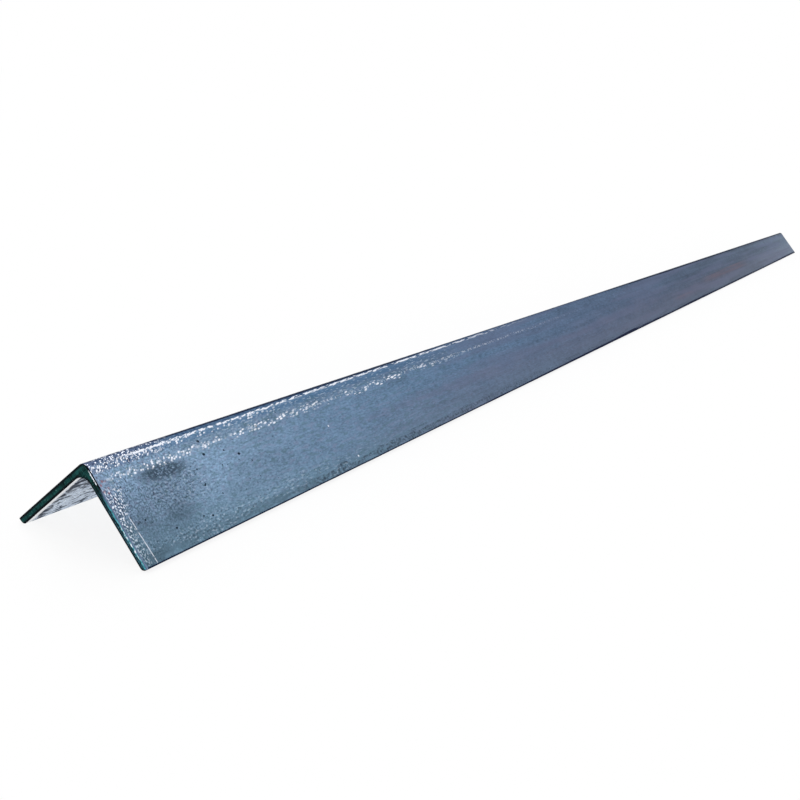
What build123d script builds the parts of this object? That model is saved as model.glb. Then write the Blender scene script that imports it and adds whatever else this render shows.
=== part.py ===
"""Hot-rolled equal-leg steel angle, 40 x 40 x 3 mm, sawn square to a stock length of 1.5 m.

One solid. The bar lies along X with its heel up and its two toes on the ground, like a tent.
The origin is on the ground, halfway along the bar, below the heel.
"""

from build123d import *
from math import cos, radians, sin, sqrt, tan
import os

# ---- driving dimensions (mm and degrees) ----
LENGTH = 1500.0  # from saw cut to saw cut
LEG = 40.0  # width of each leg, from the heel's sharp corner to the toe
THICKNESS = 3.0  # of both legs
HEEL_RADIUS = 3.0  # the outer corner, as the rolls leave it
ROOT_RADIUS = 4.5  # the fillet inside, where the legs meet
TOE_RADIUS = 1.6  # the inner corner of each toe; its outer corner is sharp
TOE_SLOPE = 8.0  # how far each toe's end face leans back towards the inner side
CUT_CHAMFER = 0.4  # the burr filed off all round each saw cut

# ---- worked out from them ----
toe_lean = radians(TOE_SLOPE)
toe_inner_corner = LEG - THICKNESS * tan(toe_lean)
# The bar lies on the rounded corners of its toes. Their centres, along a leg and across it,
# give the height of the heel's sharp corner over the ground.
toe_centre_across = THICKNESS - TOE_RADIUS
toe_centre_along = LEG - (TOE_RADIUS + toe_centre_across * sin(toe_lean)) / cos(toe_lean)
heel_height = (toe_centre_along + toe_centre_across) / sqrt(2) + TOE_RADIUS

# The section is drawn with the heel's sharp corner at the sketch's origin and one leg along
# each sketch axis. The plane of the first saw cut turns it so that both legs point down.
cut_plane = Plane(
    origin=(-LENGTH / 2, 0, heel_height),
    x_dir=(0, -1, -1),
    z_dir=(1, 0, 0),
)

with BuildPart() as angle_bar:
    with BuildSketch(cut_plane) as section:
        with BuildLine():
            FilletPolyline(
                (0, 0),
                (LEG, 0),
                (toe_inner_corner, THICKNESS),
                (THICKNESS, THICKNESS),
                (THICKNESS, toe_inner_corner),
                (0, LEG),
                radius=(HEEL_RADIUS, 0, TOE_RADIUS, ROOT_RADIUS, TOE_RADIUS, 0),
                close=True,
            )
        make_face()
    extrude(amount=LENGTH)
    saw_cuts = angle_bar.faces().filter_by(Axis.X)
    chamfer(saw_cuts.edges(), CUT_CHAMFER)

angle_bar.part.label = "angle_bar"

os.makedirs("parts", exist_ok=True)
export_step(angle_bar.part, "parts/angle_bar.step")
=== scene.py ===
import math

import bpy
import numpy as np
from mathutils import Matrix, Vector, noise


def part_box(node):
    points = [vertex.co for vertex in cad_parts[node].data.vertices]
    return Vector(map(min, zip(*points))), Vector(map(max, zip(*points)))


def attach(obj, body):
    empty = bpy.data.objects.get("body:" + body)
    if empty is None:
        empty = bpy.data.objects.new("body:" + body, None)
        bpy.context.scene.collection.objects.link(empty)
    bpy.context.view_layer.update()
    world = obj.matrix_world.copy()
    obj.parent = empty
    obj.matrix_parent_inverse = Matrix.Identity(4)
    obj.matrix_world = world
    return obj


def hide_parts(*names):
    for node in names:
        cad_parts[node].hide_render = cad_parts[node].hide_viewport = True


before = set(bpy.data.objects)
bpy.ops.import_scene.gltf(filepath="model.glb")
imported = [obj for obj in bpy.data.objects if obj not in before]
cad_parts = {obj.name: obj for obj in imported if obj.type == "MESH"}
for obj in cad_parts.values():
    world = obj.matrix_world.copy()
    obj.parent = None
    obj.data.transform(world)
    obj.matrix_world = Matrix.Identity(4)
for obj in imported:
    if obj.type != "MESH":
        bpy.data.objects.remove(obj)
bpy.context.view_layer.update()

# ---------------------------------------------------------------------------------------------
# The rolled bar. An equal-leg steel angle, rolled hot in one piece and sawn to length. The rolls
# leave a blunt heel, a fillet in the root, round inner toe corners and faces that wander a
# little. A file has taken the burr off both saw cuts.

MM = 0.001
ROOT2 = math.sqrt(2)
QUARTER = math.pi / 2
LEG = 40 * MM
THICKNESS = 3 * MM
HEEL_RADIUS = 3 * MM
ROOT_RADIUS = 4.5 * MM
TOE_RADIUS = 1.6 * MM
TOE_ARRIS = 0.3 * MM  # the outer corner of each toe is not quite sharp
SHARPEST_ARRIS = 0.05 * MM
TOE_LEAN = math.radians(8)
CUT_CHAMFER = 0.4 * MM

low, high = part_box("angle_bar")
NEAR_CUT = low.x
LENGTH = high.x - low.x

# How many faces of the mesh span each flat, each rounding and each toe's end.
FACE_STEPS = 20
ROUND_STEPS = 6
END_STEPS = 3


def toe_centre(radius, depth, inset=0.0):
    """How far along a leg a rounding has its centre, so that it meets the toe's leaning end."""
    return LEG - depth * math.tan(TOE_LEAN) - (radius + inset) / math.cos(TOE_LEAN)


toe_depth = THICKNESS - TOE_RADIUS
toe_reach = toe_centre(TOE_RADIUS, toe_depth)
root_centre = THICKNESS + ROOT_RADIUS
heel_height = (toe_reach + toe_depth) / ROOT2 + TOE_RADIUS


def arc(reach, depth, radius, first, last, steps):
    """Points of a rounding, as (reach along the leg, depth under its outer face)."""
    turns = np.linspace(first, last, steps + 1)
    return [(reach + radius * math.cos(turn), depth + radius * math.sin(turn)) for turn in turns]


def flat(start, end, steps):
    """Evenly spaced points between two others, without them."""
    share = np.linspace(0, 1, steps + 1)[1:-1, None]
    return [tuple(point) for point in np.array(start) * (1 - share) + np.array(end) * share]


def leg_outline(inset):
    """One leg, cut back all round by inset: from the heel's middle round the toe to the root's."""
    arris_radius = max(TOE_ARRIS - inset, SHARPEST_ARRIS)
    arris_depth = inset + arris_radius
    arris_reach = toe_centre(arris_radius, arris_depth, inset)
    heel = arc(HEEL_RADIUS, HEEL_RADIUS, HEEL_RADIUS - inset, -1.5 * QUARTER, -QUARTER, ROUND_STEPS)
    arris = arc(arris_reach, arris_depth, arris_radius, -QUARTER, TOE_LEAN, END_STEPS)
    toe = arc(toe_reach, toe_depth, TOE_RADIUS - inset, TOE_LEAN, QUARTER, ROUND_STEPS)
    root = arc(root_centre, root_centre, ROOT_RADIUS + inset, -QUARTER, -1.5 * QUARTER, ROUND_STEPS)
    outer_face = flat(heel[-1], arris[0], FACE_STEPS)
    toe_end = flat(arris[-1], toe[0], END_STEPS)
    inner_face = flat(toe[-1], root[0], FACE_STEPS)
    return np.array(heel + outer_face + arris + toe_end + toe + inner_face + root)


def whole_outline(inset):
    """The ring of points round the section. It starts in the root and passes back toe, heel
    and front toe. Side is 1 on the front leg and -1 on the back leg."""
    leg = leg_outline(inset)
    back = leg[::-1][:-1]
    front = leg[:-1]
    side = np.repeat([-1.0, 1.0], len(back))
    reach, depth = np.concatenate([back, front]).T
    return reach, depth, side


def across_bar(reach, depth, side):
    """(y, z) of points so far along a leg and so deep under its outer face."""
    return np.stack([-side * (reach - depth) / ROOT2, heel_height - (reach + depth) / ROOT2], axis=1)


reach, depth, side = whole_outline(0)
section = across_bar(reach, depth, side)
AROUND = len(section)

# Directions into the metal. At the toes they lie straight through the leg, so that nothing folds.
along_ring = np.roll(section, -1, axis=0) - np.roll(section, 1, axis=0)
along_ring /= np.linalg.norm(along_ring, axis=1, keepdims=True)
into_metal = np.stack([-along_ring[:, 1], along_ring[:, 0]], axis=1)
through_leg = np.stack([side, -np.ones(AROUND)], axis=1) / ROOT2
at_toe = reach > toe_reach
into_metal[at_toe] = (through_leg * (1 - 2 * depth / THICKNESS)[:, None])[at_toe]
towards_heel = np.stack([side, np.ones(AROUND)], axis=1) / ROOT2

# How deep and how long the waves in the skin, the nicks in the heel and the toes' wander are.
SKIN_WAVE = 0.03 * MM
WAVE_LENGTH = 16 * MM
WAVE_WIDTH = 7 * MM
HEEL_NICK = 0.25 * MM
NICK_LENGTH = 3.5 * MM
NICK_START = 0.15  # only the higher part of the noise cuts a nick
TOE_WANDER = 0.05 * MM
WANDER_LENGTH = 22 * MM
TOE_ZONE = 2.5 * MM
heel_share = np.maximum(0, 1 - reach / HEEL_RADIUS) * (depth < THICKNESS / 2)
toe_share = np.maximum(0, 1 - (LEG - reach) / TOE_ZONE)


def relief(place):
    """How far the rolls left the skin from its true line: into the metal, and back at the toes.
    The bare values in a place of the noise pick another sheet of it."""
    wave = np.empty(AROUND)
    nick = np.empty(AROUND)
    wander = np.empty(AROUND)
    for j in range(AROUND):
        y, z = section[j]
        wave[j] = noise.noise(Vector((place / WAVE_LENGTH, y / WAVE_WIDTH, z / WAVE_WIDTH)))
        nick[j] = noise.noise(Vector((place / NICK_LENGTH, 7.0, side[j] * 0.3)))
        wander[j] = noise.noise(Vector((place / WANDER_LENGTH, side[j], 3.0)))
    nicks = HEEL_NICK * heel_share * np.maximum(0, nick - NICK_START)
    deep = SKIN_WAVE * (wave + heel_share + toe_share) + nicks
    back = TOE_WANDER * toe_share * (1 + wander)
    return deep[:, None] * into_metal + back[:, None] * towards_heel


def growing_steps(stop, first, growth, most):
    """Places from 0 up to stop, close together at first and then wider apart."""
    found = [0.0]
    step = first
    while found[-1] + step < stop:
        found.append(found[-1] + step)
        step = min(step * growth, most)
    return found


# Rings of points along the bar, closer together at its ends. The filed edges have their own.
FILED_RING = 0.12 * MM
NEAR_SHARE = 0.55
FAR_SHARE = 0.45
WIDEST_STEP = 5 * MM
near_steps = growing_steps(NEAR_SHARE * LENGTH, 0.8 * MM, 1.004, WIDEST_STEP)
far_steps = growing_steps(FAR_SHARE * LENGTH, 1 * MM, 1.03, WIDEST_STEP)
filed_rings = [0.0, FILED_RING, CUT_CHAMFER]
near_rings = [CUT_CHAMFER + step for step in near_steps]
far_rings = [LENGTH - CUT_CHAMFER - step for step in far_steps]
last_rings = [LENGTH - ring for ring in filed_rings]
places = np.array(sorted(set(filed_rings + near_rings + far_rings + last_rings)))
RINGS = len(places)

points = np.empty((RINGS, AROUND, 3))
for i, place in enumerate(places):
    unfiled = max(0.0, CUT_CHAMFER - min(place, LENGTH - place))
    inset = CUT_CHAMFER - math.sqrt(CUT_CHAMFER**2 - unfiled**2)
    points[i, :, 0] = NEAR_CUT + place
    points[i, :, 1:] = across_bar(*whole_outline(inset)) + relief(place)

vertices = points.reshape(-1, 3).tolist()
faces = []
for i in range(RINGS - 1):
    for j in range(AROUND):
        k = (j + 1) % AROUND
        faces.append((i * AROUND + j, i * AROUND + k, (i + 1) * AROUND + k, (i + 1) * AROUND + j))
skin_faces = len(faces)

# Each sawn end is a grid of faces: rows through the metal, columns from back toe to front toe.
COLUMNS = 2 * (FACE_STEPS + ROUND_STEPS)
ROWS = 2 * END_STEPS + ROUND_STEPS
BULGE_COLUMNS = 4  # how far the toes' rounding reaches into the grid
BACK_INNER = COLUMNS // 2
BACK_OUTER = BACK_INNER + ROWS
FRONT_OUTER = BACK_OUTER + COLUMNS


def rim_index(row, column):
    """Which point of a ring lies at this place on the edge of a sawn end, or None inside it."""
    if row == 0:
        return BACK_OUTER + column
    if row == ROWS:
        return (BACK_INNER - column) % AROUND
    if column == 0:
        return BACK_OUTER - row
    if column == COLUMNS:
        return FRONT_OUTER + row
    return None


def end_point(ring, row, column):
    """A place inside a sawn end, between the points of its edge. It follows the toes' rounding."""
    through = row / ROWS
    place = ring[rim_index(0, column)] * (1 - through) + ring[rim_index(ROWS, column)] * through
    for toe_column, apart in ((0, column), (COLUMNS, COLUMNS - column)):
        outer = ring[rim_index(0, toe_column)]
        inner = ring[rim_index(ROWS, toe_column)]
        bulge = ring[rim_index(row, toe_column)] - outer * (1 - through) - inner * through
        place = place + bulge * max(0.0, 1 - apart / BULGE_COLUMNS)
    return place


end_corners = []
for ring_number, turned in ((0, False), (RINGS - 1, True)):
    ring = points[ring_number]
    numbers = {}
    for row in range(ROWS + 1):
        for column in range(COLUMNS + 1):
            on_rim = rim_index(row, column)
            if on_rim is None:
                numbers[row, column] = len(vertices)
                vertices.append(end_point(ring, row, column).tolist())
            else:
                numbers[row, column] = ring_number * AROUND + on_rim
    for row in range(ROWS):
        for column in range(COLUMNS):
            corners = [(row, column), (row + 1, column), (row + 1, column + 1), (row, column + 1)]
            if turned:
                corners.reverse()
            faces.append([numbers[corner] for corner in corners])
            end_corners.append((turned, corners))

bar_mesh = bpy.data.meshes.new("angle_bar_rolled")
bar_mesh.from_pydata(vertices, [], faces)
is_end = np.zeros(len(faces), dtype=bool)
is_end[skin_faces:] = True
bar_mesh.polygons.foreach_set("use_smooth", ~is_end)
bar_mesh.polygons.foreach_set("material_index", is_end.astype(np.int32))
bar = bpy.data.objects.new("angle_bar_rolled", bar_mesh)
bpy.context.scene.collection.objects.link(bar)

# The bar's own flat map, for finishes that are laid on as a picture. The skin lies unrolled in
# three lengths, each across the whole map, with the inner faces squeezed. The ends lie on top.
STRIP_ENDS = (0.3, 0.78)  # metres from the near cut
INNER_SQUEEZE = 0.6
INNER_DEPTH = 0.95 * THICKNESS
GUTTER = 0.006
END_SCALE = 10.0  # map widths to a metre

strip_rings = [0] + [int(np.abs(places - end).argmin()) for end in STRIP_ENDS] + [RINGS - 1]
edge_lengths = np.linalg.norm(np.roll(section, -1, axis=0) - section, axis=1)
middle_depth = (depth + np.roll(depth, -1)) / 2
edge_lengths[middle_depth > INNER_DEPTH] *= INNER_SQUEEZE
unrolled = np.concatenate([[0.0], np.cumsum(edge_lengths)])

spots = []
foot = GUTTER
for first, last in zip(strip_rings, strip_rings[1:]):
    scale = (1 - 2 * GUTTER) / (places[last] - places[first])
    for i in range(first, last):
        left = GUTTER + scale * (places[i] - places[first])
        right = GUTTER + scale * (places[i + 1] - places[first])
        for j in range(AROUND):
            lower = foot + scale * unrolled[j]
            upper = foot + scale * unrolled[j + 1]
            spots += [(left, lower), (left, upper), (right, upper), (right, lower)]
    foot += scale * unrolled[-1] + GUTTER
end_height = END_SCALE * THICKNESS
end_width = END_SCALE * 2 * LEG
for turned, corners in end_corners:
    end_foot = foot + turned * (end_height + GUTTER)
    for row, column in corners:
        spots.append((GUTTER + end_width * column / COLUMNS, end_foot + end_height * row / ROWS))
bar_map = bar_mesh.uv_layers.new(name="OFBake")
bar_map.data.foreach_set("uv", np.array(spots).ravel())
bar_mesh.update()

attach(bar, "root")
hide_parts("angle_bar")

# ---------------------------------------------------------------------------------------------
# The mill scale on the bar. Hot steel leaves the rolls under a hard blue-grey oxide skin. It is finely
# grained, scuffed white at the cut and dull at the toes. A highlight beside the heel and shade along
# its crest and at the toes are painted on.


class Wire:
    """A value on its way through a material's nodes. Wires add up and multiply like numbers."""

    def __init__(self, tree, socket):
        self.tree = tree
        self.socket = socket

    def through(self, operation, *others):
        node = self.tree.nodes.new("ShaderNodeMath")
        node.operation = operation
        for value, socket in zip((self, *others), node.inputs):
            plug(value, socket)
        return Wire(self.tree, node.outputs[0])

    def __add__(self, other):
        return self.through("ADD", other)

    def __sub__(self, other):
        return self.through("SUBTRACT", other)

    def __mul__(self, other):
        return self.through("MULTIPLY", other)

    def __truediv__(self, other):
        return self.through("DIVIDE", other)

    def __abs__(self):
        return self.through("ABSOLUTE")

    def __or__(self, other):
        """The larger of two shares."""
        return self.through("MAXIMUM", other)

    def __invert__(self):
        """What a share leaves of the whole."""
        return self.through("MULTIPLY_ADD", -1.0, 1.0)

    def rise(self, start, end):
        """Goes softly from 0 to 1 while this value goes from start to end."""
        node = self.tree.nodes.new("ShaderNodeMapRange")
        node.interpolation_type = "SMOOTHSTEP"
        plug(self, node.inputs["Value"])
        plug(start, node.inputs["From Min"])
        plug(end, node.inputs["From Max"])
        return Wire(self.tree, node.outputs["Result"])

    def near(self, middle, reach, blur):
        """Is 1 within reach of the middle, and fades out over blur."""
        return abs(self - middle).rise(reach + blur, reach)


def plug(value, socket):
    """Gives a socket a number or a colour, or wires it up."""
    if isinstance(value, Wire):
        value.tree.links.new(value.socket, socket)
    else:
        socket.default_value = value


def spot(x, y, z):
    """Three values as one place."""
    node = x.tree.nodes.new("ShaderNodeCombineXYZ")
    for value, socket in zip((x, y, z), node.inputs):
        plug(value, socket)
    return Wire(x.tree, node.outputs[0])


def clouds(place, detail=2.0):
    """Soft noise around 0.5, with about one cloud to a unit of place."""
    node = place.tree.nodes.new("ShaderNodeTexNoise")
    plug(place, node.inputs["Vector"])
    node.inputs["Scale"].default_value = 1.0
    node.inputs["Detail"].default_value = detail
    return Wire(place.tree, node.outputs["Fac"])


def uneven(place, detail=2.0):
    """The same noise around 0."""
    return clouds(place, detail) - 0.5


def grains(place):
    """Cells about a unit across: how far a point is from its cell's middle, and the cell's lot."""
    node = place.tree.nodes.new("ShaderNodeTexVoronoi")
    plug(place, node.inputs["Vector"])
    node.inputs["Scale"].default_value = 1.0
    lots = place.tree.nodes.new("ShaderNodeSeparateColor")
    place.tree.links.new(node.outputs["Color"], lots.inputs[0])
    return Wire(place.tree, node.outputs["Distance"]), Wire(place.tree, lots.outputs[0])


def painted(under, over, share):
    """One colour laid over another."""
    node = share.tree.nodes.new("ShaderNodeMix")
    node.data_type = "RGBA"
    socket = {each.identifier: each for each in node.inputs}
    plug(share, socket["Factor_Float"])
    plug(under, socket["A_Color"])
    plug(over, socket["B_Color"])
    return Wire(share.tree, node.outputs[2])


def shaded(colour, light):
    """A colour made lighter or darker."""
    node = light.tree.nodes.new("ShaderNodeVectorMath")
    node.operation = "SCALE"
    plug(colour, node.inputs[0])
    plug(light, node.inputs["Scale"])
    return Wire(light.tree, node.outputs[0])


def tint(red, green, blue):
    """A colour given as a screen shows it, from 0 to 255."""
    parts = [part / 255 for part in (red, green, blue)]
    parts = [part / 12.92 if part <= 0.04045 else ((part + 0.055) / 1.055) ** 2.4 for part in parts]
    return (*parts, 1.0)


def colour_along(share, stops):
    """A colour that changes along the bar. Each stop is a share of the length and a colour."""
    node = share.tree.nodes.new("ShaderNodeValToRGB")
    ramp = node.color_ramp
    while len(ramp.elements) < len(stops):
        ramp.elements.new(1.0)
    for element, (position, colour) in zip(ramp.elements, stops):
        element.position = position
        element.color = colour
    plug(share, node.inputs[0])
    return Wire(share.tree, node.outputs[0])


def bar_places(tree):
    """Where a point of the bar is, in mm: from the near cut, from the heel along its leg, and
    under that leg's outer face. The last value is -1 on the front leg and 1 on the back leg."""
    source = tree.nodes.new("ShaderNodeTexCoord")
    split = tree.nodes.new("ShaderNodeSeparateXYZ")
    tree.links.new(source.outputs["Object"], split.inputs[0])
    x, y, z = [Wire(tree, output) for output in split.outputs]
    along = x / MM - NEAR_CUT / MM
    down = z / -MM + heel_height / MM
    aside = abs(y) / MM
    return along, (down + aside) / ROOT2, (down - aside) / ROOT2, y.through("SIGN")


def oval(along, across, middle_along, middle_across, half_length, half_width):
    """Is 0 in an oval's middle, 1 on its edge and more outside it."""
    run = (along - middle_along) / half_length
    side = (across - middle_across) / half_width
    return run * run + side * side


def new_finish(name):
    """A bare Principled material: the material, its tree and its shader."""
    finish = bpy.data.materials.new(name)
    finish.use_nodes = True
    return finish, finish.node_tree, finish.node_tree.nodes["Principled BSDF"]


def roughened(tree, shader, height):
    """Raises and sinks the surface by a height in mm."""
    bump = tree.nodes.new("ShaderNodeBump")
    bump.inputs["Distance"].default_value = MM
    plug(height, bump.inputs["Height"])
    tree.links.new(bump.outputs["Normal"], shader.inputs["Normal"])


# The skin's colour from the near cut to the far one, at shares of the bar's length. It darkens away
# from the near cut, partly as the scale's own colour and partly as painted shade where the light falls
# off.
SCALE_AND_SHADE_STOPS = (
    (0.00, tint(121, 147, 174)),
    (0.04, tint(117, 144, 171)),
    (0.08, tint(105, 132, 160)),
    (0.16, tint(92, 118, 146)),
    (0.30, tint(84, 103, 129)),
    (0.52, tint(76, 90, 111)),
    (0.78, tint(81, 94, 112)),
    (1.00, tint(101, 116, 134)),
)
VIOLET = tint(100, 108, 136)
WARM_GREY = tint(106, 98, 110)
LILAC = tint(128, 136, 164)
SEA_GREEN = tint(84, 112, 122)
PALE_SPECK = tint(164, 180, 200)
# Bright steel, for wear and for painted highlights.
BRIGHT_STEEL_AND_HIGHLIGHT = tint(236, 240, 250)
RIM_BLACK = tint(8, 14, 18)
DULL_SPECULAR = 0.02
SCALE_SHEEN = tint(150, 158, 172)

# Everything in a finish is in mm: along from the near cut, across from the heel, and depth under
# the outer face.
LEG_MM = LEG / MM
LENGTH_MM = LENGTH / MM

mill_scale, tree, shader = new_finish("mill_scale")
along, across, depth, leg = bar_places(tree)
sideways = across * leg
front_leg = leg.rise(0.5, -0.5)
back_leg = ~front_leg

# Grain and marks are drawn out more and more along the bar. This place grows by 1 over 1 mm at
# the near cut, over 2 mm at 50 mm from it, over 6 mm at 250 mm and over 31 mm at the far cut.
DRAWN_TWICE = 50
run = (along + DRAWN_TWICE).through("LOGARITHM", math.e) * DRAWN_TWICE

# Noises, each in cells so long and so wide. A bare third value picks another sheet of the noise.
fine_grain = uneven(spot(run / 0.55, sideways / 0.7, depth), 3.0)
grit = uneven(spot(run / 0.8, sideways / 0.75, 27.0))
coarse_grain = uneven(spot(along / 1.6, sideways / 1.3, depth))
mottles = uneven(spot(along / 5, sideways / 3, depth), 3.0)
patches = uneven(spot(along / 26, sideways / 10, depth), 3.0)
hues = uneven(spot(run / 1.6, sideways / 1.5, 14.0))
toe_blots = uneven(spot(run / 3, sideways / 1.8, 31.0), 4.0)
drawn_out = uneven(spot(run / 9, sideways / 2.2, depth), 3.0)
wide_draw = uneven(spot(along / 240, sideways / 9, depth / 3))
far_streaks = uneven(spot(run / 14, sideways / 5.5, depth), 3.0)

# The skin: lighter and bluer near the cut, with grain that softens along the bar, then streaks. Far
# along it is lighter towards the toe, with a painted highlight in a band below the heel.
FAR_HIGHLIGHT_ACROSS = 8
beyond = along.rise(90, 240)
far_away = along.rise(350, 900)
light = (fine_grain * 3.0 + coarse_grain) * (along.rise(65, 5) * 0.6 + 0.4) + mottles * 0.5 + 1.0
light = light + grit * along.rise(140, 40) * 1.1
light = light + patches * 0.5 + drawn_out * beyond * 0.6 + far_streaks * far_away * 0.8
light = light + (across / LEG_MM - 0.5) * far_away * 0.3
light = light + across.near(FAR_HIGHLIGHT_ACROSS, 2, 3) * far_away * 0.16
light = light + across.rise(12, 24) * along.rise(1080, 1250) * 0.17
colour = shaded(colour_along(along / LENGTH_MM, SCALE_AND_SHADE_STOPS), light)
colour = painted(colour, VIOLET, wide_draw.rise(-0.05, 0.14) * beyond * 0.45)
colour = painted(colour, WARM_GREY, (across + patches * 20).rise(12, 34) * beyond * 0.3)
hue_share = along.rise(400, 60) * 0.5
colour = painted(colour, LILAC, hues.rise(0.02, 0.16) * hue_share * 0.7)
colour = painted(colour, SEA_GREEN, hues.rise(-0.02, -0.16) * hue_share)
colour = painted(colour, PALE_SPECK, fine_grain.rise(0.1, 0.2) * along.rise(110, 20) * 0.45)

# Darker and greener towards the toes, with painted shade in a dark drawn-out band along the edge, and
# grit beside it.
TOE_GREEN = tint(92, 121, 137)
TOE_TEAL = tint(99, 130, 150)
TOE_DIRT_AND_SHADE = tint(52, 62, 74)
TOE_EDGE_SHADE_ACROSS = 38
TOE_GRIT_ACROSS = 35.2
SMUDGE_GRIT_ALONG = 31
SMUDGE_GRIT_ACROSS = 19
greenness = (across + patches * 10).rise(27, 40) * (along.rise(260, 90) * 0.45 + 0.15)
toe_edge_shade = (across + toe_blots * 12).near(TOE_EDGE_SHADE_ACROSS, 0.7, 1.2) * along.rise(60, 110)
toe_edge_shade = toe_edge_shade * (coarse_grain * 3 + along.rise(350, 150) * 0.2 + 0.15)
toe_grit = (across + patches * 16).near(TOE_GRIT_ACROSS, 1.7, 2.8) * along.rise(210, 60)
toe_grit = toe_grit * (along.rise(60, 35) * 0.3 + 0.6)
smudge_grit = along.near(SMUDGE_GRIT_ALONG, 8, 10) * across.near(SMUDGE_GRIT_ACROSS, 4, 5)
gritty = toe_grit | (smudge_grit * front_leg * 0.8)
colour = painted(colour, TOE_GREEN, greenness)
# Painted shade: a dark drawn-out band along the toe's edge.
colour = painted(colour, TOE_DIRT_AND_SHADE, toe_edge_shade)
colour = painted(colour, TOE_TEAL, along.rise(90, 20) * across.rise(20, 32) * front_leg * 0.45)
colour = painted(colour, PALE_SPECK, gritty * grit.rise(0.07, 0.15) * 0.85)
colour = painted(colour, TOE_DIRT_AND_SHADE, gritty * grit.rise(-0.06, -0.15) * 0.6)

# Two greasy smudges near the cut of the front leg, with a halo round the first. An oval's four
# values are where its middle is, along and across, and half its length and half its width.
SMUDGE_GREY = tint(54, 68, 82)
SMUDGE_OVAL = (27.5, 11.0, 13.0, 3.4)
SMUDGE_SLANT = 0.04
HALO_OVAL = (37.0, 18.0, 10.0, 6.0)
SECOND_SMUDGE_OVAL = (25.0, 27.0, 7.0, 3.4)
smudge = oval(along, across - along * SMUDGE_SLANT, *SMUDGE_OVAL).rise(1.6, 0.1)
halo = oval(along, across, *HALO_OVAL).rise(1.6, 0.2)
second_smudge = (oval(along, across, *SECOND_SMUDGE_OVAL) + coarse_grain).rise(1.6, 0.2)
soot = (smudge + halo * 0.2 + fine_grain * 6 + coarse_grain * 3).rise(0.1, 1.2)
soot = soot * (smudge | (halo * 0.6)) * front_leg
colour = painted(colour, SMUDGE_GREY, soot * 0.9)
colour = painted(colour, SMUDGE_GREY, second_smudge * front_leg * 0.3)

# Darker and lighter patches of the front leg: dull round the smudges, shaded at the cut and
# along the toe, worn further on, clean in between and pale beside the toe's shade.
DULL_OVAL = (21.0, 25.0, 16.0, 10.0)
CLEAN_OVAL = (50.0, 17.0, 12.0, 8.0)
TOE_SHADE_ACROSS = 37.0
WORN_ALONG = 73
WORN_ACROSS = 24.5
PALE_ALONG = 62
PALE_ACROSS = 35.4
dull = (oval(along, across, *DULL_OVAL) + patches * 1.5).rise(1.5, 0.1)
clean = (oval(along, across, *CLEAN_OVAL) + patches * 1.5).rise(1.6, 0.2)
cut_shade = along.rise(15, 8) * across.rise(14, 19)
toe_shade = (across + toe_blots * 9).near(TOE_SHADE_ACROSS, 1.4, 1.2) * along.rise(110, 70)
toe_shade = toe_shade * (fine_grain * 5 + 1)
worn_band = across.near(WORN_ACROSS, 3.5, 4) * along.near(WORN_ALONG, 16, 12)
pale_strip = (across + toe_blots * 4).near(PALE_ACROSS, 1.1, 1.2) * along.near(PALE_ALONG, 22, 18)
shade = dull * 0.24 + cut_shade * 0.18 + toe_shade * 0.22 + worn_band * 0.11
shade = shade - clean * 0.14 - pale_strip * 0.12
colour = shaded(colour, ~(shade * front_leg))

# Faint red drawn-out stains far along the front leg.
RED_STREAK = tint(112, 94, 104)
STAIN_ALONG = 975
STAIN_ACROSS = 23.6
FAINT_STAIN_ALONG = 755
FAINT_STAIN_ACROSS = 30.5
stain = along.near(STAIN_ALONG, 60, 90) * across.near(STAIN_ACROSS, 1.8, 3)
faint_stain = along.near(FAINT_STAIN_ALONG, 15, 40) * across.near(FAINT_STAIN_ACROSS, 1, 2.5)
stains = (stain | (faint_stain * 0.4)) * front_leg
colour = painted(colour, RED_STREAK, stains * (drawn_out * 2.5 + 0.42))

# Specks of rust beside the cut.
RUST = tint(138, 92, 96)
RUST_ACROSS = 12
rust_reach, rust_lot = grains(spot(along / 1.2, sideways / 1.2, 4.0))
rusty = along.rise(4.5, 2.5) * across.near(RUST_ACROSS, 3.5, 2)
rust = rust_reach.rise(0.5, 0.3) * rust_lot.rise(0.45, 0.5) * rusty
colour = painted(colour, RUST, rust * 0.85)

# Pits: many small ones, and a few large ones that are longer than wide. The large ones are given
# by how far they are from the cut and from the heel, and by half their width.
PIT_BLACK = tint(22, 34, 46)
PIT_STRETCH = 1.4
BIG_PITS = (
    (50.2, 6.5, 0.6),
    (49.3, 11.7, 0.6),
    (66.0, 16.1, 0.6),
    (83.3, 8.5, 0.5),
    (37.3, 33.0, 0.45),
    (19.6, 31.8, 0.4),
    (33.3, 31.9, 0.35),
    (41.7, 22.3, 0.35),
)
pit_reach, pit_lot = grains(spot(along / 5.5, sideways / 5.5, 8.0))
pit = pit_reach.rise(0.085, 0.045) * pit_lot.rise(0.6, 0.61) * along.rise(260, 60)
small_reach, small_lot = grains(spot(along / 2.4, sideways / 2.4, 2.0))
small_pit = small_reach.rise(0.16, 0.08) * small_lot.rise(0.62, 0.63) * along.rise(190, 40)
pits = pit | (small_pit * 0.65)
for pit_along, pit_across, half_width in BIG_PITS:
    big_pit = oval(along, across, pit_along, pit_across, half_width * PIT_STRETCH, half_width)
    pits = pits | (big_pit.rise(1.0, 0.4) * front_leg)
colour = painted(colour, PIT_BLACK, pits * 0.95)

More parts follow.
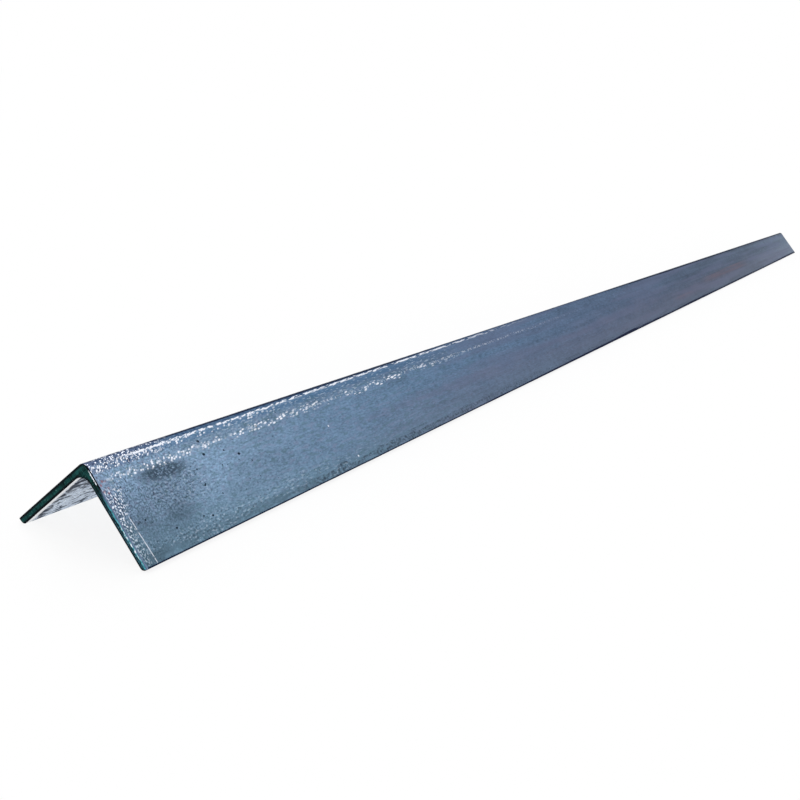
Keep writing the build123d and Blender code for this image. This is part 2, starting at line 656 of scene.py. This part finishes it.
# Painted shade on the blunt heel: it is a deeper blue, and navy to black along its crest and where it
# faces back.
HEEL_SHADE_BLUE = tint(48, 74, 106)
HEEL_HIGHLIGHT_BLUE = tint(70, 112, 152)
CREST_SHADE_BLACK = tint(2, 16, 42)
HEEL_HIGHLIGHT_ACROSS = 4.2
heel = across.rise(2.8, 2.1) * (coarse_grain * 1.5 + 0.75) * (along.rise(420, 200) * 0.6 + 0.4)
far_crest = along.rise(450, 750)
crest_reach = along.rise(0, 150) * 0.3 - along.rise(180, 280) * 0.5 + far_crest * 1.45 + 1.1
crest_reach = crest_reach + drawn_out * far_crest * 2
crest_shade = across.rise(crest_reach + 0.3, crest_reach - 0.15) | (across.rise(2.9, 2.3) * back_leg)
# A painted highlight: a pale blue line just below the heel.
heel_highlight = across.near(HEEL_HIGHLIGHT_ACROSS, 0.7, 0.8) * along.rise(4, 14) * along.rise(300, 180)
colour = painted(colour, HEEL_SHADE_BLUE, heel)
colour = painted(colour, CREST_SHADE_BLACK, crest_shade * 0.9)
colour = painted(colour, HEEL_HIGHLIGHT_BLUE, heel_highlight * 0.45)

# At the near cut the heel is lilac, and chipped all over: some chips are navy and some bright.
HEEL_LILAC = tint(94, 105, 133)
HEEL_NAVY = tint(26, 44, 76)
CHIPS_ACROSS = 3.1
near_heel = across.near(CHIPS_ACROSS, 2.0, 0.8) * along.rise(44, 20)
chip_reach, chip_lot = grains(spot(along / 0.75 + across / 3, sideways / 0.6, 7.0))
chips = chip_reach.rise(0.54, 0.4) * near_heel
bright_chips = chips * chip_lot.rise(0.52, 0.6)
colour = painted(colour, HEEL_LILAC, near_heel * 0.4)
colour = painted(colour, HEEL_NAVY, chips * chip_lot.rise(0.4, 0.34) * 0.9)

# A painted highlight beside the heel, in a broken, wandering rope of bright steel colour.
ROPE_ACROSS = 2.9
rope_wander = uneven(spot(run / 1.4, leg, 1.0)) * 1.8
rope_middle = along.rise(50, 150) * -0.6 - along.rise(150, 260) * 0.15 + ROPE_ACROSS
rope = (across - rope_wander).near(rope_middle, 0.28, 0.3)
rope = rope * clouds(spot(run / 1.1 + across / 1.5, sideways / 0.9, 5.0)).rise(0.45, 0.5)
rope = rope * along.rise(400, 220) * along.rise(4, 24)

# A second painted highlight further down the leg is made of bright specks in clusters, and fades to a
# ghost of itself. A few stray highlight specks lie above it.
SECOND_LINE_ACROSS = 8.6
GHOST_LINE_ACROSS = 8.5
STRAYS_ACROSS = 3.9
BETWEEN_LINES_ALONG = 150
BETWEEN_LINES_ACROSS = 5.8
speck_reach, speck_lot = grains(spot(run / 0.75 + across / 3, sideways / 1.0, 11.0))
specks = speck_reach.rise(0.48, 0.32) * speck_lot.rise(0.36, 0.44) * (speck_lot * 0.6 + 0.5)
clusters = specks * clouds(spot(run / 4, leg, 12.0)).rise(0.3, 0.48)
line_middle = across - uneven(spot(run / 6, leg, 3.0)) * 2.4
second_line = line_middle.near(SECOND_LINE_ACROSS, 0.8, 1.2) * clusters
second_line = second_line * along.rise(300, 180) * along.rise(4, 9)
ghost_line = line_middle.near(GHOST_LINE_ACROSS, 0.3, 0.7) * coarse_grain.rise(0.0, 0.12)
ghost_line = ghost_line * along.rise(500, 260)
strays = across.near(STRAYS_ACROSS, 0.5, 0.8) * clusters * along.rise(130, 60)
between_lines = across.near(BETWEEN_LINES_ACROSS, 1.6, 1.4) * along.near(BETWEEN_LINES_ALONG, 70, 60)

# Scuffs along the cut, with a dark ragged border, and a long scratch just beyond them.
SCUFF_TEAL = tint(98, 134, 154)
SCRATCH_ALONG = 3.34
SCRATCH_ACROSS = 31
SCRATCH_SLANT = 0.0375
BORDER_ACROSS = 19
scuff_specks = clouds(spot(along / 0.6 + across / 9, sideways / 0.9, 17.0), 3.0)
scuff_edge = along + uneven(spot(across / 5, leg, 6.0)) * 5
scuff_reach = across.rise(26, 14) * 3.5 + 5.0
scuffs = scuff_edge.rise(scuff_reach, scuff_reach - 3.5) * across.rise(9, 15)
scuff_white = scuff_specks.rise(0.52, 0.62) * (across.rise(34, 20) * 0.6 + 0.4)
scuff_dark = painted(HEEL_NAVY, TOE_DIRT_AND_SHADE, across.rise(16, 26))
scuff_border = (scuff_edge - scuff_reach).near(-0.3, 0.3, 0.4) * across.near(BORDER_ACROSS, 5, 5)
scratch_wander = uneven(spot(across / 7, leg, 19.0)) * 0.7
scratch_line = along - across * SCRATCH_SLANT - SCRATCH_ALONG + scratch_wander
scratch = scratch_line.near(0, 0.1, 0.14) * across.near(SCRATCH_ACROSS, 8, 1)
scratch = scratch * scuff_specks.rise(0.36, 0.5) * front_leg
lone_reach, lone_lot = grains(spot(along / 7, sideways / 7, 15.0))
lone_specks = lone_reach.rise(0.085, 0.04) * lone_lot.rise(0.72, 0.73) * along.rise(300, 80)

colour = painted(colour, LILAC, along.rise(6, 2) * across.rise(26, 14) * 0.2)
colour = painted(colour, SCUFF_TEAL, scuffs * across.rise(18, 28) * 0.5)
colour = painted(colour, scuff_dark, (scuffs | scuff_border) * scuff_specks.rise(0.52, 0.42) * 0.7)
colour = shaded(colour, ~(between_lines * 0.12))
colour = painted(colour, PALE_SPECK, between_lines * grit.rise(0.05, 0.16) * 0.65)
# Bright steel where the scale is worn (chips, scuffs, the scratch and lone specks) and as painted
# highlights (the rope, the second line, its ghost and the strays).
wear_and_highlights = rope | bright_chips | second_line | strays | (ghost_line * 0.35)
wear_and_highlights = wear_and_highlights | (scuffs * scuff_white) | (scratch * 0.7) | lone_specks
colour = painted(colour, BRIGHT_STEEL_AND_HIGHLIGHT, wear_and_highlights)

# Painted shade: the toes' ends are nearly black, in a band that spreads further along the bar.
TOE_SHADE_BLACK = tint(2, 14, 46)
toe_end_shade_spread = along.rise(180, 550) * (drawn_out * 3.5 + 1.15)
toe_end = across + depth * math.tan(TOE_LEAN) + toe_end_shade_spread
colour = painted(colour, TOE_SHADE_BLACK, toe_end.rise(LEG_MM - 0.75, LEG_MM - 0.4) * 0.95)

# The inner faces are paler, with brown dirt in the root, dark draw marks and a painted highlight along
# the cut's edge.
INNER_PALE = tint(230, 240, 253)
INNER_SLATE = tint(112, 126, 146)
INNER_EDGE_HIGHLIGHT = tint(255, 255, 255)
ROOT_DIRT = tint(50, 46, 50)
DRAW_MARK = tint(34, 46, 60)
CUT_DIRT_ALONG = 4
inner_streaks = clouds(spot(along / 5, sideways / 1.8, 21.0), 4.0)
inner_blots = clouds(spot(along / 3.5, sideways / 2.4, 25.0), 3.0)
root_dirt = (across + (inner_streaks - 0.5) * 16).rise(24, 14) * inner_blots.rise(0.42, 0.54)
cut_dirt = (along + (inner_blots - 0.5) * 7).near(CUT_DIRT_ALONG, 1, 1) * inner_streaks.rise(0.38, 0.5)
toe_marks = across.rise(27, 33) * inner_streaks.rise(0.52, 0.57)
inner = painted(INNER_PALE, INNER_SLATE, along.rise(100, 400))
inner = shaded(inner, fine_grain * 1.6 + (inner_streaks - 0.5) * 2.0 + 1.0)
inner = painted(inner, ROOT_DIRT, (root_dirt | cut_dirt) * 0.9)
inner = painted(inner, DRAW_MARK, (inner_streaks.rise(0.56, 0.59) | toe_marks) * 0.9)
# Painted highlight: white along the cut's edge.
inner = painted(inner, INNER_EDGE_HIGHLIGHT, along.rise(2.9, 1.9))
inside = depth.rise(2.2, 2.8)
colour = painted(colour, inner, inside)

# The filed edges at both cuts are black, and slate on the front leg's outer edge.
FILED_SLATE = tint(92, 108, 132)
from_end = along.through("MINIMUM", along * -1 + LENGTH_MM)
slate_edge = front_leg * across.rise(10, 13) * depth.rise(1.5, 1)
filed = painted(RIM_BLACK, FILED_SLATE, slate_edge)
colour = painted(colour, filed, from_end.rise(0.35, 0.2))
plug(colour, shader.inputs["Base Color"])

# Worn steel and painted highlights are more metallic, smoother and a little raised.
worn_and_highlit = wear_and_highlights * ~inside
plug(worn_and_highlit * 0.4 + inside * 0.4 + 0.3, shader.inputs["Metallic"])
plug(fine_grain * 0.3 + worn_and_highlit * -0.15 + soot * 0.15 + 0.52, shader.inputs["Roughness"])
shader.inputs["Specular IOR Level"].default_value = DULL_SPECULAR
shader.inputs["Specular Tint"].default_value = SCALE_SHEEN
roughened(tree, shader, fine_grain * 0.05 + coarse_grain * 0.05 + worn_and_highlit * 0.03 - pits * 0.12)

# ---------------------------------------------------------------------------------------------
# The sawn ends. The saw leaves bare metal with fine marks straight through the legs, dark and greenish
# with cutting fluid and black at its rim. Bright highlights on the front leg and beside the heel are
# painted.

END_GREEN = tint(24, 70, 68)
END_DEEP = tint(2, 18, 18)
END_TEAL = tint(56, 100, 116)
END_SLATE = tint(76, 92, 114)
END_CHIP = tint(116, 158, 150)
GLINT = tint(76, 158, 172)

sawn_steel, tree, shader = new_finish("sawn_steel")
along, across, depth, leg = bar_places(tree)
front_leg = leg.rise(0.5, -0.5)
saw_marks = uneven(spot(across / 0.5, depth / 8, leg), 3.0)
blots = uneven(spot(across / 4, depth / 2, leg))
fleck = clouds(spot(across / 1.2, depth / 0.4, leg), 3.0)
ragged = depth + uneven(spot(across / 2.2, leg, 5.0), 3.0) * 0.9

# Green steel with lighter flecks, teal on the front leg and slate towards its outer corner.
colour = painted(END_GREEN, END_DEEP, (saw_marks * 2.8 + blots * 1.6 + 0.4).rise(0, 1))
colour = shaded(colour, saw_marks * 3 + 1.0)
colour = painted(colour, END_TEAL, front_leg * across.rise(9, 18) * (saw_marks * 2 + 0.75))
colour = painted(colour, END_SLATE, front_leg * across.rise(9, 14) * ragged.rise(0.8, 0.6))
colour = painted(colour, END_CHIP, fleck.rise(0.64, 0.7) * 0.6)

# A painted highlight: a bright glint along the front leg, with a black crack beside it.
GLINT_DEPTH = 0.95
LONG_CRACK_DEPTH = 1.55
TOE_CRACK_DEPTH = 1.65
glint = ragged.near(GLINT_DEPTH, 0.2, 0.2) * across.rise(12, 20) * front_leg
long_crack = ragged.near(LONG_CRACK_DEPTH, 0.3, 0.16) * across.near(17, 8, 3) * fleck.rise(0.64, 0.54)
toe_crack = ragged.near(TOE_CRACK_DEPTH, 0.18, 0.14) * across.rise(20, 26) * fleck.rise(0.58, 0.48)
colour = painted(colour, GLINT, glint * fleck.rise(0.3, 0.5))
colour = painted(colour, BRIGHT_STEEL_AND_HIGHLIGHT, glint * fleck.rise(0.48, 0.6) * across.near(30, 3, 6))
colour = painted(colour, RIM_BLACK, (long_crack | toe_crack) * front_leg * 0.9)

# Black round the rim, and a painted highlight: a bright sliver on the edge beside the heel.
SLIVER_DEPTH = 0.42
SLIVER_ACROSS = 6.2
outer_rim = depth.rise(1.1, 0.8) * (~front_leg) | (depth.rise(0.8, 0.5) * across.rise(13, 10))
inner_rim = (depth + across.rise(10, 14) * front_leg * 0.15).rise(2.1, 2.35) * across.rise(3, 6)
sliver = (depth + (fleck - 0.5) * 0.9).near(SLIVER_DEPTH, 0.26, 0.12) * fleck.rise(0.38, 0.44)
sliver = sliver * across.near(SLIVER_ACROSS, 2.2, 0.7) * front_leg
colour = painted(colour, RIM_BLACK, (outer_rim | inner_rim) * 0.95)
colour = painted(colour, BRIGHT_STEEL_AND_HIGHLIGHT, sliver)
plug(colour, shader.inputs["Base Color"])

plug(saw_marks * 0.3 + 0.55, shader.inputs["Roughness"])
plug((glint | (sliver * 0.3)) * 0.6 + 0.1, shader.inputs["Metallic"])
shader.inputs["Specular IOR Level"].default_value = DULL_SPECULAR
roughened(tree, shader, saw_marks * 0.06)

bar_mesh.materials.append(mill_scale)
bar_mesh.materials.append(sawn_steel)

# ---------------------------------------------------------------------------------------------
# The floor, a plain white sheet that keeps a light shadow of the bar and meets the white around
# it without a line.

FLOOR_SIZE = 30.0
SHADOW_SHARE = 0.14
WHITE = (1, 1, 1, 1)
PAPER_WHITE = (0.97, 0.97, 0.97, 1)
PLAIN_STRENGTH = 1.0  # a colour shows just as it is given

bpy.ops.mesh.primitive_plane_add(size=FLOOR_SIZE)
floor = bpy.context.object
floor.name = "floor"
white_sheet = bpy.data.materials.new("white_sheet")
white_sheet.use_nodes = True
tree = white_sheet.node_tree
tree.nodes.clear()


def seen_directly(tree):
    """Is 1 for what the camera sees, straight or in metal or glass, and 0 for plain light."""
    path = tree.nodes.new("ShaderNodeLightPath")
    camera_ray = Wire(tree, path.outputs["Is Camera Ray"])
    glossy_ray = Wire(tree, path.outputs["Is Glossy Ray"])
    transmission_ray = Wire(tree, path.outputs["Is Transmission Ray"])
    return camera_ray | glossy_ray | transmission_ray


def mixed(tree, share, first, second):
    """Two shaders mixed: a share of the second over the first."""
    mix = tree.nodes.new("ShaderNodeMixShader")
    plug(share, mix.inputs[0])
    tree.links.new(first.outputs[0], mix.inputs[1])
    tree.links.new(second.outputs[0], mix.inputs[2])
    return mix


paper = tree.nodes.new("ShaderNodeBsdfDiffuse")
paper.inputs["Color"].default_value = PAPER_WHITE
white = tree.nodes.new("ShaderNodeEmission")
white.inputs["Strength"].default_value = PLAIN_STRENGTH
mix = mixed(tree, seen_directly(tree) * (1 - SHADOW_SHARE), paper, white)
output = tree.nodes.new("ShaderNodeOutputMaterial")
tree.links.new(mix.outputs[0], output.inputs["Surface"])
floor.data.materials.append(white_sheet)

# ---------------------------------------------------------------------------------------------
# The light: an even white room, a broad lamp that looks into the near end from the front, and
# two gentle ones from above and behind, so that no side is left dull.

ROOM_LIGHT = 0.5
world = bpy.data.worlds.new("white_room")
bpy.context.scene.world = world
world.use_nodes = True
tree = world.node_tree
tree.nodes.clear()
room = tree.nodes.new("ShaderNodeBackground")
room.inputs["Strength"].default_value = ROOM_LIGHT
backdrop = tree.nodes.new("ShaderNodeBackground")
backdrop.inputs["Strength"].default_value = PLAIN_STRENGTH
for side_of_room in (room, backdrop):
    side_of_room.inputs["Color"].default_value = WHITE
mix = mixed(tree, seen_directly(tree), room, backdrop)
output = tree.nodes.new("ShaderNodeOutputWorld")
tree.links.new(mix.outputs[0], output.inputs["Surface"])


def pointing(turn, lift):
    """A direction, from its angle from +X towards +Y and its angle up from level."""
    return Vector((math.cos(lift) * math.cos(turn), math.cos(lift) * math.sin(turn), math.sin(lift)))


def broad_light(name, azimuth, elevation, strength, softness):
    """Even light from one direction. Angles are in degrees, the azimuth from +X towards +Y."""
    data = bpy.data.lights.new(name, "SUN")
    data.energy = strength
    data.angle = math.radians(softness)
    lamp = bpy.data.objects.new(name, data)
    turn = math.radians(azimuth)
    lift = math.radians(elevation)
    lamp.rotation_euler = pointing(turn, lift).to_track_quat("Z", "Y").to_euler()
    bpy.context.scene.collection.objects.link(lamp)


broad_light("key", 210, 9, 2.0, 25)
broad_light("top", 0, 85, 0.8, 60)
broad_light("back", 50, 40, 0.9, 40)

# ---------------------------------------------------------------------------------------------
# The camera, low and close in front of the near end. Its place is in leg widths from the top of
# the near cut, and it looks along the bar, a little down, and leans.

FOCAL_PIXELS = 1000.1123
FRAME_PIXELS = 800
SENSOR = 36.0
NEAREST_SEEN = 0.01
LEGS_BEFORE_CUT = 5.4731
LEGS_ASIDE = 5.4201
LEGS_ABOVE_HEEL = 2.9022
YAW = 0.4629
PITCH = -0.28005
ROLL = 0.1199

camera_place = Vector(
    (NEAR_CUT - LEGS_BEFORE_CUT * LEG, -LEGS_ASIDE * LEG, heel_height + LEGS_ABOVE_HEEL * LEG)
)
forward = pointing(YAW, PITCH)
level = Vector((math.sin(YAW), -math.cos(YAW), 0))
upright = level.cross(forward)
right = math.cos(ROLL) * level + math.sin(ROLL) * upright
up = math.cos(ROLL) * upright - math.sin(ROLL) * level
lens = bpy.data.cameras.new("camera")
lens.sensor_width = SENSOR
lens.lens = SENSOR * FOCAL_PIXELS / FRAME_PIXELS
lens.clip_start = NEAREST_SEEN
camera = bpy.data.objects.new("camera", lens)
camera_turn = Matrix((right, up, -forward)).transposed().to_4x4()
camera.matrix_world = Matrix.Translation(camera_place) @ camera_turn
bpy.context.scene.collection.objects.link(camera)
bpy.context.scene.camera = camera
bpy.context.scene.view_settings.view_transform = "Standard"
